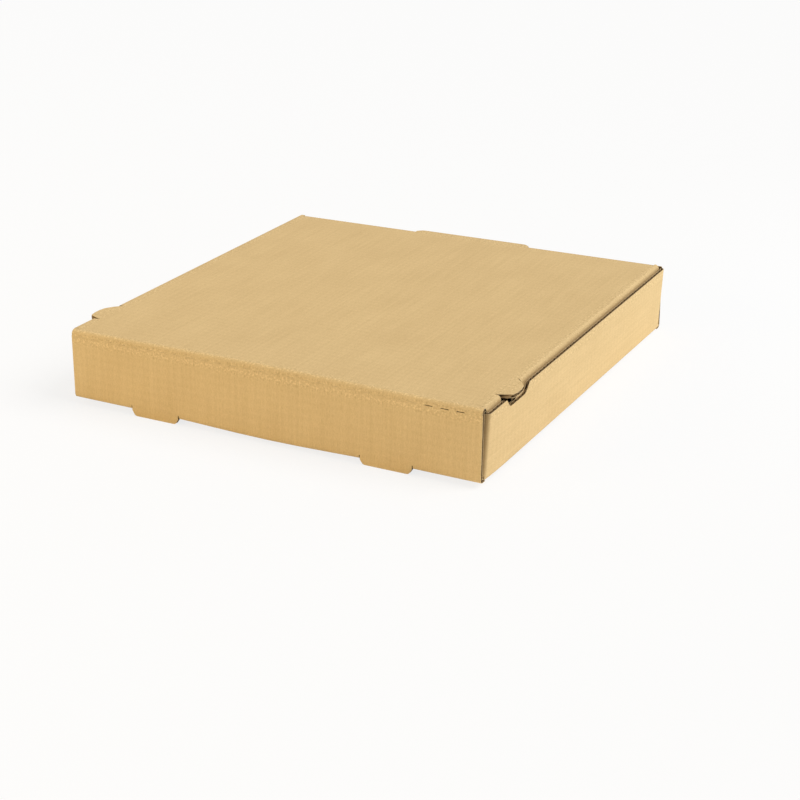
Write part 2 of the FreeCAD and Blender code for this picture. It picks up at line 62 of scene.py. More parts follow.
tray_low, tray_high = box_in_mm("tray")
lid_low, lid_high = box_in_mm("lid")

# Board
BOARD = 2.8
INNER = 0.5
OUTER = INNER + BOARD
LINER = 0.35
MEDIUM = 0.25
FLUTE = 6.4
LEAN = math.radians(3.2)
SLANT = BOARD / math.cos(LEAN)
TOUCH = 0.01

# Closed box
HALF_WIDTH = 179.3
HALF_DEPTH = -tray_low[1]
EDGE = 0.5
FLOOR = 6.5
FLOOR_TOP = FLOOR + BOARD
LID_TOP = lid_high[2]
HINGE_LIP = 0.9
HINGE_GAP = 0.2
FOLD_END = LID_TOP - OUTER - HINGE_LIP
WALL_TOP = FOLD_END - HINGE_GAP
FRONT_TOP = tray_high[2]
PLY_GAP = 0.3
FLAP_FACE = HALF_DEPTH - BOARD - PLY_GAP
INNER_PLY = HALF_DEPTH - 3 * BOARD - 2 * PLY_GAP
PLY_BOTTOM = FLOOR_TOP + PLY_GAP
PLY_END = HALF_WIDTH - SLANT - EDGE
SPINE_END = HALF_WIDTH - EDGE

# Side walls and their corner flaps
WALL_RIM = 58.0
SIDE_HEIGHT = (WALL_RIM - FLOOR) / math.cos(LEAN)
FOOT = OUTER * math.tan((math.pi / 2 - LEAN) / 2)
SEAM = 2.0
FLOOR_SEAM = HALF_WIDTH - FOOT - SEAM
REAR_TUCK = 1.1
WALL_REAR = OUTER + REAR_TUCK - FLAP_FACE
WALL_FRONT = FLAP_FACE - OUTER
CORNER_FOOT = 3.0
# Height on the lid's side flap of the line from which painted shade spreads over its bend
PAINTED_SHADE_LEVEL = 57.5
FLAP_LIFT = 3.4
FLAP_STEP = 0.3
STEP_RUN = 0.3
FLAP_FALL = math.tan(math.radians(8.0))
REAR_FLAP = 104.0
FRONT_FLAP = 76.0
NOTCH_REAR = -149.0
NOTCH_FRONT = -109.0
NOTCH_DEPTH = 7.2
NOTCH_SLOPE = 6.0
NOTCH_CORNER = 8.0
NOTCH_STEP = 1.0

# Tabs, slots and locks
TAB_INSIDE = 80.5
TAB_OUTSIDE = 123.5
TAB_TAPER = 2.6
TAB_CORNER = 2.5
SLOT_END = -HALF_DEPTH + BOARD + FLOOR
RELIEF = 0.8
RELIEF_HEIGHT = 3.4
RELIEF_TOP = FLOOR + RELIEF_HEIGHT
RELIEF_END = -HALF_DEPTH + BOARD + OUTER
LOCK_INSIDE = 84.5
LOCK_OUTSIDE = 119.5
LOCK_PLAY = 1.5
LOCK_RISE = 0.4
LOCK_TIP = FLOOR + LOCK_RISE

# Perforated hinge
SLIT_COUNT = 27
SLIT_PITCH = 12.7
SLIT_LENGTH = 6.35
SLIT_SHIFT = -3.6
SLIT_DEPTH = 0.6
CLOSED_SLIT = 0.15
OPEN_FROM = 128.0

# Lid
LID_PLAY = 0.4
LID_FRONT = INNER_PLY - LID_PLAY
LID_EDGE = HALF_WIDTH - SLANT - LID_PLAY + (LID_TOP - FLOOR) * math.tan(LEAN)
LID_BEND = OUTER * math.tan((math.pi / 2 + LEAN) / 2) + INNER
SIDE_BEND = LID_EDGE - LID_BEND
FRONT_BEND = LID_FRONT - LID_BEND
FLAP_BOTTOM = lid_low[2]
FLAP_DROP = LID_TOP - FLAP_BOTTOM
FLAP_IN = FLAP_DROP * math.tan(LEAN)
FLAP_NARROWING = 9.0
FLAP_TAPER = FLAP_NARROWING / (FOLD_END - FLAP_BOTTOM + BOARD)
FLAP_INSET = 2.0
SIDE_REAR = BOARD - FLAP_FACE + FLAP_INSET
SIDE_FRONT = FRONT_BEND - FLAP_INSET
TUCK_END = SIDE_BEND - FLAP_IN - BOARD
SLIT_SIDE = SIDE_BEND - RELIEF
HINGE_PLAY = 0.3
HINGE_SIDE = SPINE_END - HINGE_PLAY
CORNER_SLIT = 0.8
SIDE_CREASE = 178.0
PANEL_SEAM = SIDE_BEND - SEAM
SEAM_INSET = 5.0
REAR_SEAM = SEAM_INSET - HALF_DEPTH
FRONT_SEAM = LID_FRONT - SEAM_INSET
BULGE_FOOT = 54.8
BULGE_SLANT = math.radians(50)
PLAIN_SLANT = math.pi / 2 - LEAN
BULGE_RADIUS = 2.0
EAR_REAR = -153.0
EAR_CROWN = -128.5
EAR_FRONT = -117.5
EAR_SHORT = 3.0
EAR_TIP = lid_high[0] - EAR_SHORT
EAR_CORNER = 11.0
EAR_SWEEP = 15.0
WINDOW_PLAY = 4.0
TONGUE_HALF = 56.0
TONGUE_TAPER = 4.5
TONGUE_CORNER = 5.0
TONGUE_REACH = 3.7
TONGUE_TIP = LID_FRONT + TONGUE_REACH
ARC_EXTRA = OUTER * (1 - math.pi / 2)
EAR_WINDOW = LID_TOP - (EAR_TIP - SIDE_BEND) - ARC_EXTRA - WINDOW_PLAY
TONGUE_WINDOW = LID_TOP - (TONGUE_TIP - FRONT_BEND) - ARC_EXTRA


BEND_STEPS = 8
HINGE_STEPS = 12


class Fold:
    """A line of straight runs joined by arcs, with the board laid along its left side.

    A run is start + s (cos h, sin h) for its heading h. An arc of curvature k that leaves in the
    heading h is start + (sin(h + k s) - sin h, cos h - cos(h + k s)) / k.
    """

    def __init__(self, corners, radius):
        corners = np.asarray(corners, float)
        runs = np.diff(corners, axis=0)
        headings = np.unwrap(np.arctan2(runs[:, 1], runs[:, 0]))
        turns = np.diff(headings)
        radii = np.broadcast_to(np.asarray(radius, float), turns.shape)
        cuts = np.concatenate([[0.0], radii * np.tan(np.abs(turns) / 2), [0.0]])
        spans = np.hypot(runs[:, 0], runs[:, 1]) - cuts[:-1] - cuts[1:]
        self.pieces = []
        self.bends = []
        self.length = 0.0
        for i, heading in enumerate(headings):
            ahead = np.array([math.cos(heading), math.sin(heading)])
            start = corners[i] + cuts[i] * ahead
            self.pieces.append((self.length, start, heading, 0.0))
            self.length += spans[i]
            if i < len(turns):
                arc = radii[i] * abs(turns[i])
                curvature = math.copysign(1 / radii[i], turns[i])
                self.pieces.append((self.length, start + spans[i] * ahead, heading, curvature))
                self.bends.append((self.length, self.length + arc))
                self.length += arc

    def at(self, length, depth=0.0):
        """The point at a length along the line and at a depth to its left."""
        length = np.asarray(length, float)
        x = np.zeros_like(length)
        y = np.zeros_like(length)
        turned = np.zeros_like(length)
        for begin, start, heading, curvature in self.pieces:
            here = length >= begin - 1e-9 if begin else np.full(length.shape, True)
            s = length - begin
            angle = heading + curvature * s
            if curvature:
                ahead = (np.sin(angle) - math.sin(heading)) / curvature
                aside = (math.cos(heading) - np.cos(angle)) / curvature
            else:
                ahead = s * math.cos(heading)
                aside = s * math.sin(heading)
            x = np.where(here, start[0] + ahead, x)
            y = np.where(here, start[1] + aside, y)
            turned = np.where(here, angle, turned)
        return x - depth * np.sin(turned), y + depth * np.cos(turned)

    def bend_stops(self, count=BEND_STEPS):
        """Lengths that divide each bend evenly."""
        return np.concatenate([np.linspace(start, end, count + 1) for start, end in self.bends])


OUTLINE_POINTS = 800


def outline(corners, radius):
    """Rounded outline as a function: how far out it lies at a place along its base."""
    line = Fold(corners, radius)
    along, out = line.at(np.linspace(0, line.length, OUTLINE_POINTS))
    return lambda place: np.interp(place, along, out)


def stretched(base, tip, edge):
    """A shape for a board: its rows from base to tip are stretched to reach an outlined edge."""
    return lambda u, v: (u, base + (v - base) / (tip - base) * (edge(u) - base))


def ruled(stops, step):
    """Grid lines through every stop, with equal gaps of at most one step between them."""
    stops = np.unique(np.round(np.asarray(stops, float), 4))
    parts = [np.linspace(a, b, max(1, math.ceil((b - a) / step - 1e-6)) + 1)[:-1]
             for a, b in zip(stops[:-1], stops[1:])]
    return np.concatenate([*parts, stops[-1:]])


def both(values):
    """The values and their mirror images."""
    return [*values, *(-value for value in values)]


def hat(place, knots, index):
    """1 at one knot and 0 at the others, straight between them."""
    return np.interp(place, knots, np.arange(len(knots)) == index)


def nearest(u, v, lines):
    """Distance on the blank to the nearest of some lines across u and across v."""
    distance = np.full(u.shape, HALF_DEPTH)
    for values, places in ((u, lines[0]), (v, lines[1])):
        for place in places:
            distance = np.minimum(distance, np.abs(values - place))
    return distance


# How the used box has settled: rise of the lid's and the floor's corners, the bows of crest and
# floor beside the hinge wall, and the shift of that wall's foot
LID_CORNERS = {(1, -1): -0.65, (-1, -1): 0.1, (-1, 1): -0.45, (1, 1): 2.0}
FLOOR_CORNERS = {(1, -1): -2.6, (-1, -1): -1.6, (-1, 1): 0.0, (1, 1): -2.3}
CREST_RISE = 1.3
FLOOR_SAG = 2.2
SAG_HALF = 115.0
BOW_REACH = 60.0
FOOT_SHIFT = -1.2
FOOT_REACH = 20.0


def settled(points):
    """Points after the slow bows of a used box.

    Each level rises by the bilinear mean of its corners' heights. Beside the hinge wall the crest
    bows up by CREST_RISE cos(pi x / 2 HALF_WIDTH)^2 and the floor down by
    FLOOR_SAG cos(pi x / 2 SAG_HALF)^2, fading as a bell curve of BOW_REACH along y. The wall's
    foot has moved aside by FOOT_SHIFT, which fades in the same way. The tips of the tabs stay.
    """
    def hump(place):
        return np.cos(np.clip(place, -1, 1) * math.pi / 2) ** 2

    across = points[:, 0] / HALF_WIDTH
    along = points[:, 1] / HALF_DEPTH
    up = np.clip((points[:, 2] - FLOOR) / (LID_TOP - FLOOR), 0, 1)
    rise = np.zeros(len(points))
    for level, corners in ((up, LID_CORNERS), (1 - up, FLOOR_CORNERS)):
        for (side, end), height in corners.items():
            rise += level * height * (1 + side * across) * (1 + end * along) / 4
    bell = np.exp(-((points[:, 1] + HALF_DEPTH) / BOW_REACH) ** 2)
    rise += CREST_RISE * hump(across) * bell * up ** 3
    rise -= FLOOR_SAG * hump(points[:, 0] / SAG_HALF) * bell * (1 - up)
    hanging = np.clip(points[:, 2] / FLOOR, 0, 1)
    moved = points.copy()
    moved[:, 2] += rise * hanging
    moved[:, 0] += FOOT_SHIFT * (1 - up) * np.exp(-((points[:, 1] + HALF_DEPTH) / FOOT_REACH) ** 2)
    return moved


# Layers of the board: near and far depth, swing of the flutes, step across them, and the paper of
# the near skin, the far skin and the cut edge, as its place in PAPERS
SWING = (BOARD - 2 * LINER - MEDIUM) / 2
# The faces inside the flutes take the dark medium paper: the medium's own darker tone, deepened into
# painted shade of the flute hollows
LAYERS = (
    (0.0, LINER, 0.0, FLUTE, (0, 2, 1)),
    ((BOARD - MEDIUM) / 2, (BOARD + MEDIUM) / 2, SWING, FLUTE / 8, (2, 2, 2)),
    (BOARD - LINER, BOARD, 0.0, FLUTE, (2, 0, 1)),
)
SHARP_EDGE = math.radians(35)

# Longest step along the flutes in each kind of board
PLAIN_STEP = 30.0
LID_STEP = 20.0
WALL_STEP = 13.0
EAR_STEP = 8.0
TONGUE_STEP = 2.0
TAB_STEP = 1.0

# A row or column of the grid that a shape then stretches to a lock's outline
STRETCHED_ROW = 1.0


class Piece:
    """A piece of the blank, built up from sheets of board."""

    def __init__(self, name):
        self.name = name
        self.points = []
        self.faces = []
        self.slots = []
        self.blank = []
        self.wear_and_shade = []
        self.count = 0

    def board(self, place, u_stops, v_stops, keep=None, shape=None, creases=((), ()), hand=1,
              u_step=PLAIN_STEP, painted_shade_lines=((), ())):
        """Lay three layers of paper over the kept cells of a grid on the flat blank.

        place(u, v, depth) gives a point at a depth under the outer face. The medium's depth is its
        middle depth plus SWING cos(2 pi v / FLUTE). shape(u, v) moves the grid's lines to a curved
        or slanted edge first. Each point keeps its distance to the nearest crease, and to the
        nearest line where the board tucks in behind another panel, from which painted shade
        spreads.
        """
        for near, far, swing, step, slots in LAYERS:
            columns = ruled(u_stops, u_step)
            rows = ruled(v_stops, step)
            u, v = np.meshgrid(columns, rows, indexing="ij")
            middles = np.meshgrid((columns[1:] + columns[:-1]) / 2, (rows[1:] + rows[:-1]) / 2,
                                  indexing="ij")
            kept = keep(*middles) if keep else np.full(middles[0].shape, True)
            if shape:
                u, v = shape(u, v)
            wave = swing * np.cos(2 * math.pi * v / FLUTE)
            skins = [np.stack(np.broadcast_arrays(*place(u, v, depth + wave)), -1).reshape(-1, 3)
                     for depth in (near, far)]
            flat = np.stack([u, v], -1).reshape(-1, 2)
            wear_and_shade = np.stack([nearest(u, v, creases), nearest(u, v, painted_shade_lines)], -1).reshape(-1, 2)
            self.sheet(np.concatenate(skins), np.tile(flat, (2, 1)), np.tile(wear_and_shade, (2, 1)), kept,
                       slots, hand)

    def sheet(self, points, flat, wear_and_shade, kept, slots, hand):
        """One closed sheet of paper: both faces of the kept cells, and a wall where a neighbour is
        missing."""
        index = np.arange((kept.shape[0] + 1) * (kept.shape[1] + 1))
        index = index.reshape(kept.shape[0] + 1, kept.shape[1] + 1)
        under = index.size
        a, b, c, d = index[:-1, :-1], index[1:, :-1], index[1:, 1:], index[:-1, 1:]
        padded = np.pad(kept, 1)
        walls = []
        for (p, q), beside in (((a, b), padded[1:-1, :-2]), ((b, c), padded[2:, 1:-1]),
                               ((c, d), padded[1:-1, 2:]), ((d, a), padded[:-2, 1:-1])):
            edge = kept & ~beside
            walls.append(np.stack([q[edge], p[edge], p[edge] + under, q[edge] + under], -1))
        skins = [np.stack([a, b, c, d], -1)[kept], np.stack([a, d, c, b], -1)[kept] + under]
        faces = np.concatenate([*skins, *walls])
        points = points * (hand, 1, 1)
        p, q, r, s = (points[faces[:, i]] for i in range(4))
        if np.einsum("ij,ij->", np.cross(r - p, s - q), p + q + r + s) < 0:
            faces = faces[:, ::-1]
        used = np.unique(faces)
        renumbered = np.zeros(len(points), int)
        renumbered[used] = np.arange(len(used))
        self.faces.append(renumbered[faces] + self.count)
        self.points.append(points[used])
        self.blank.append(flat[used] * (hand, 1))
        self.wear_and_shade.append(wear_and_shade[used])
        on_edges = len(faces) - 2 * len(skins[0])
        self.slots.append(np.repeat(slots, (len(skins[0]), len(skins[1]), on_edges)))
        self.count += len(used)

    def build(self, materials):
        """Make the mesh, in metres, with its flat place as a UV map, and its crease wear and its
        painted shade as attributes.
        """
        points = settled(np.concatenate(self.points)) * MM
        faces = np.concatenate(self.faces).astype(np.int32)
        mesh = bpy.data.meshes.new(self.name)
        mesh.vertices.add(len(points))
        mesh.vertices.foreach_set("co", points.ravel())
        mesh.loops.add(faces.size)
        mesh.loops.foreach_set("vertex_index", faces.ravel())
        mesh.polygons.add(len(faces))
        mesh.polygons.foreach_set("loop_start", np.arange(0, faces.size, 4, dtype=np.int32))
        mesh.polygons.foreach_set("material_index", np.concatenate(self.slots).astype(np.int32))
        mesh.polygons.foreach_set("use_smooth", np.ones(len(faces), bool))
        blank = mesh.uv_layers.new(name="blank")
        blank.data.foreach_set("uv", (np.concatenate(self.blank) * MM)[faces.ravel()].ravel())
        wear_and_shade = np.concatenate(self.wear_and_shade)
        # Distance to the nearest crease, for its wear, and to the nearest line of painted shade
        for column, name in enumerate(("fold", "painted_shade_distance")):
            attribute = mesh.attributes.new(name, "FLOAT", "POINT")
            attribute.data.foreach_set("value", np.ascontiguousarray(wear_and_shade[:, column]))
        for material in materials:
            mesh.materials.append(material)
        mesh.update(calc_edges=True)
        mesh.validate()
        mesh.set_sharp_from_angle(angle=SHARP_EDGE)
        made = bpy.data.objects.new(self.name, mesh)
        bpy.context.scene.collection.objects.link(made)
        return made


# Shaders


class Value:
    """An output socket with Python's operators, each of which adds a Math node."""

    def __init__(self, shader, socket):
        self.shader = shader
        self.socket = socket

    def __getitem__(self, name):
        return Value(self.shader, self.socket.node.outputs[name])

    def maths(self, operation, first, second=0.0):
        """The result of a Math node."""
        return self.shader.add("ShaderNodeMath", {"operation": operation}, {0: first, 1: second})

    def __add__(self, other):
        return self.maths("ADD", self, other)

    def __sub__(self, other):
        return self.maths("SUBTRACT", self, other)

    def __mul__(self, other):
        return self.maths("MULTIPLY", self, other)

    __radd__ = __add__
    __rmul__ = __mul__

    def cosine(self):
        return self.maths("COSINE", self)

    def ramp(self, low, high):
        """0 below low, 1 above high and smooth between them; the ends may be swapped."""
        return self.shader.add("ShaderNodeMapRange", {"interpolation_type": "SMOOTHSTEP"},
                               {"Value": self, "From Min": low, "From Max": high})


class Shader:
    """A fresh node tree of a material or of the world."""

    def __init__(self, owner):
        owner.use_nodes = True
        self.tree = owner.node_tree
        self.tree.nodes.clear()

    def add(self, kind, settings=None, sockets=None):
        """Add a node, set its own settings, then give its sockets their values or links."""
        node = self.tree.nodes.new(kind)
        for name, setting in (settings or {}).items():
            setattr(node, name, setting)
        for name, value in (sockets or {}).items():
            if isinstance(value, Value):
                self.tree.links.new(value.socket, node.inputs[name])
            else:
                node.inputs[name].default_value = value
        return Value(self, next(iter(node.outputs))) if len(node.outputs) else None

    def noise(self, place, scale, detail, roughness):
        """Noise from 0 to 1 with a scale of its own along each direction of the blank."""
        scaled = self.add("ShaderNodeMapping", None, {"Vector": place, "Scale": (*scale, 1.0)})
        return self.add("ShaderNodeTexNoise", {"noise_dimensions": "2D"},
                        {"Vector": scaled, "Scale": 1.0, "Detail": detail, "Roughness": roughness})

    def mix(self, factor, first, second):
        """A colour between two others."""
        settings = {"data_type": "RGBA"}
        mixed = self.add("ShaderNodeMix", settings, {"Factor": factor, 6: first, 7: second})
        return Value(self, mixed.socket.node.outputs[2])


# Noises of the kraft paper: scales along and across the flutes, per metre of the blank, then
# detail and roughness
CLOUDS = ((28.0, 22.0), 3.0, 0.5)
STREAKS = ((420.0, 16.0), 3.0, 0.6)
FIBRES = ((1900.0, 240.0), 2.0, 0.6)
SPECKS = ((900.0, 700.0), 3.0, 0.7)
PITS = ((620.0, 620.0), 1.0, 0.5)
RUBBING = ((150.0, 150.0), 2.0, 0.5)

# Relief of the paper, in metres
GRAIN = 0.00003
WASHBOARD = 0.000018
DENT = 0.00009
LUMP = 0.00007

# Distances from a crease: where the crushing ends and is full, where it spares the crease itself,
# and where the rubbing ends and is full
CRUSH_END = 9.5
CRUSH_FULL = 4.0
SPARED = 0.2
SPARED_END = 0.9
RUB_END = 2.4
RUB_FULL = 0.6

# Painted shade where the board tucks in behind another panel: its strength, where it ends and
# # is full, and its colour
PAINTED_SHADE_STRENGTH = 0.64
PAINTED_SHADE_END = 6.0
PAINTED_SHADE_FULL = 1.0
PAINTED_SHADE_COLOUR = (0.24, 0.14, 0.05, 1)


def kraft_paper(name, dark, light, skin=False):
    """Brown kraft paper: cloudy, with fibres across the flutes.

    On the skin of the box the flutes show as a faint washboard, with painted light on its crests
    and painted shade in its troughs. The paper is crushed beside its creases and rubbed on them,
    and painted shade darkens it where it tucks in behind another panel.
    """
    material = bpy.data.materials.new(name)
    shader = Shader(material)
    blank = shader.add("ShaderNodeUVMap", {"uv_map": "blank"})
    clouds = shader.noise(blank, *CLOUDS)
    streaks = shader.noise(blank, *STREAKS)
    fibres = shader.noise(blank, *FIBRES)
    specks = shader.noise(blank, *SPECKS)
    tone = (0.5 + 0.22 * (clouds - 0.5) + 0.34 * (streaks - 0.5) + 0.45 * (fibres - 0.5)
            + 0.6 * (specks - 0.5))
    height = GRAIN * fibres + GRAIN * specks
    if skin:
        across = shader.add("ShaderNodeSeparateXYZ", None, {"Vector": blank})["Y"]
        ridges = (across * (2 * math.pi / (FLUTE * MM))).cosine()
        fold = shader.add("ShaderNodeAttribute", {"attribute_name": "fold"})["Fac"]
        band = fold.ramp(CRUSH_END, CRUSH_FULL) * fold.ramp(SPARED, SPARED_END)
        pits = shader.noise(blank, *PITS) + 0.07 * ridges
        dents = pits.ramp(0.62, 0.72) * band
        lumps = pits.ramp(0.42, 0.32) * band
        worn = fold.ramp(RUB_END, RUB_FULL) * shader.noise(blank, *RUBBING)
        # The tone also follows the washboard's ridges, lighter on their crests and darker in their
        # troughs: painted light and shade of the relief
        tone = tone + 0.025 * ridges - 0.3 * dents + 0.4 * lumps - 0.06 * worn
        height = height + WASHBOARD * ridges - DENT * dents + LUMP * lumps
    colour = shader.mix(tone, dark, light)
    if skin:
        # Painted shade: the skin darkens towards each line where it tucks in behind another panel
        painted_shade_distance = shader.add("ShaderNodeAttribute", {"attribute_name": "painted_shade_distance"})["Fac"]
        painted_shade_factor = PAINTED_SHADE_STRENGTH * painted_shade_distance.ramp(PAINTED_SHADE_END, PAINTED_SHADE_FULL)
        colour = shader.mix(painted_shade_factor, colour, PAINTED_SHADE_COLOUR)
    bump = shader.add("ShaderNodeBump", None, {"Strength": 1.0, "Distance": 1.0, "Height": height})
    roughness = 0.78 + 0.14 * specks
    surface = shader.add("ShaderNodeBsdfPrincipled", None,
                         {"Base Color": colour, "Roughness": roughness, "Normal": bump,
                          "Specular IOR Level": 0.25})
    shader.add("ShaderNodeOutputMaterial", None, {"Surface": surface})
    return material


LINER_PAPER = kraft_paper("kraft_liner", (0.545, 0.372, 0.170, 1), (0.845, 0.630, 0.325, 1),
                          skin=True)
CUT_EDGE = kraft_paper("cut_edge", (0.50, 0.36, 0.18, 1), (0.85, 0.68, 0.42, 1))
# Darker than the liner: partly the medium's own tone, partly painted shade of the flute hollows,
# also on the liners' faces inside them
MEDIUM_AND_HOLLOW_SHADE = kraft_paper("fluted_medium_and_hollow_shade", (0.20, 0.125, 0.055, 1), (0.36, 0.235, 0.11, 1))
PAPERS = (LINER_PAPER, CUT_EDGE, MEDIUM_AND_HOLLOW_SHADE)


# Tray


def tray_spine():
    """Hinge wall, floor and roll-over front wall, one strip bent along its length."""
    piece = Piece("tray_floor")
    spine = Fold([(-HALF_DEPTH, WALL_TOP), (-HALF_DEPTH, FLOOR), (HALF_DEPTH, FLOOR),
                  (HALF_DEPTH, FRONT_TOP), (INNER_PLY, FRONT_TOP), (INNER_PLY, PLY_BOTTOM)], OUTER)
    wall_end, floor_start = spine.bends[0]
    floor_end = spine.bends[1][0]
    ridge = spine.bends[2][1]
    creases = ((), [0.0, *(sum(bend) / 2 for bend in spine.bends[2:])])

    def place(u, v, depth):
        return u, *spine.at(v, depth)

    def floor_line(y):
        return floor_start + y + HALF_DEPTH - OUTER

    def keep(u, v):
        x = np.abs(u)
        y, z = spine.at(v)
        on_floor = (v > floor_start) & (v < floor_end)
        by_tab = (x > TAB_INSIDE) & (x < TAB_OUTSIDE)
        side_bend = on_floor & (y > WALL_REAR) & (y < WALL_FRONT) & (x > FLOOR_SEAM)
        ply_end = (v > ridge) & (x > PLY_END)
        tab_slot = by_tab & (v > wall_end) & (y < SLOT_END)
        relief = ((x > TAB_INSIDE - RELIEF) & (x < TAB_OUTSIDE + RELIEF) & ~by_tab
                  & (z < RELIEF_TOP) & (y < RELIEF_END))
        lock_slot = (on_floor & (x > LOCK_INSIDE - LOCK_PLAY) & (x < LOCK_OUTSIDE + LOCK_PLAY)
                     & (y > INNER_PLY - PLY_GAP) & (y < INNER_PLY + BOARD + PLY_GAP))
        return ~(side_bend | ply_end | tab_slot | relief | lock_slot)

    columns = both([TAB_INSIDE - RELIEF, TAB_INSIDE, TAB_OUTSIDE, TAB_OUTSIDE + RELIEF, FLOOR_SEAM,
                    LOCK_INSIDE - LOCK_PLAY, LOCK_OUTSIDE + LOCK_PLAY, PLY_END, SPINE_END])
    lines = [floor_line(y) for y in (WALL_REAR, WALL_FRONT, SLOT_END, RELIEF_END,
                                     INNER_PLY - PLY_GAP, INNER_PLY + BOARD + PLY_GAP)]
    rows = [SLIT_DEPTH, WALL_TOP - RELIEF_TOP, *spine.bend_stops(), *lines, spine.length]
    piece.board(place, columns, rows, keep, creases=creases)

    slits = (np.arange(SLIT_COUNT) - SLIT_COUNT // 2) * SLIT_PITCH + SLIT_SHIFT
    slit_ends = [*(slits - SLIT_LENGTH / 2), *(slits + SLIT_LENGTH / 2)]

    def keep_bridges(u, v):
        in_slit = np.abs(u[..., None] - slits).min(-1) < SLIT_LENGTH / 2
        return ~in_slit | ((v > CLOSED_SLIT) & (u < OPEN_FROM))

    piece.board(place, [*slit_ends, -SPINE_END, SPINE_END], [0.0, CLOSED_SLIT, SLIT_DEPTH],
                keep_bridges, creases=creases)

    tab = outline([(TAB_INSIDE, WALL_TOP - FLOOR), (TAB_INSIDE + TAB_TAPER, WALL_TOP),
                   (TAB_OUTSIDE - TAB_TAPER, WALL_TOP), (TAB_OUTSIDE, WALL_TOP - FLOOR)],
                  TAB_CORNER)
    lock_end = spine.length + PLY_BOTTOM - LOCK_TIP
    lock = outline([(LOCK_INSIDE, spine.length), (LOCK_INSIDE, lock_end), (LOCK_OUTSIDE, lock_end),
                    (LOCK_OUTSIDE, spine.length)], LOCK_PLAY)
    lock_row = spine.length + STRETCHED_ROW

    def tab_place(u, v, depth):
        return u, depth - HALF_DEPTH, WALL_TOP - v

    for hand in (1, -1):
        piece.board(tab_place, [TAB_INSIDE, TAB_OUTSIDE], [wall_end, WALL_TOP],
                    shape=stretched(wall_end, WALL_TOP, tab), hand=hand, u_step=TAB_STEP)
        piece.board(place, [LOCK_INSIDE, LOCK_OUTSIDE], [spine.length, lock_row],
                    shape=stretched(spine.length, lock_row, lock), hand=hand, u_step=TAB_STEP)
    return piece


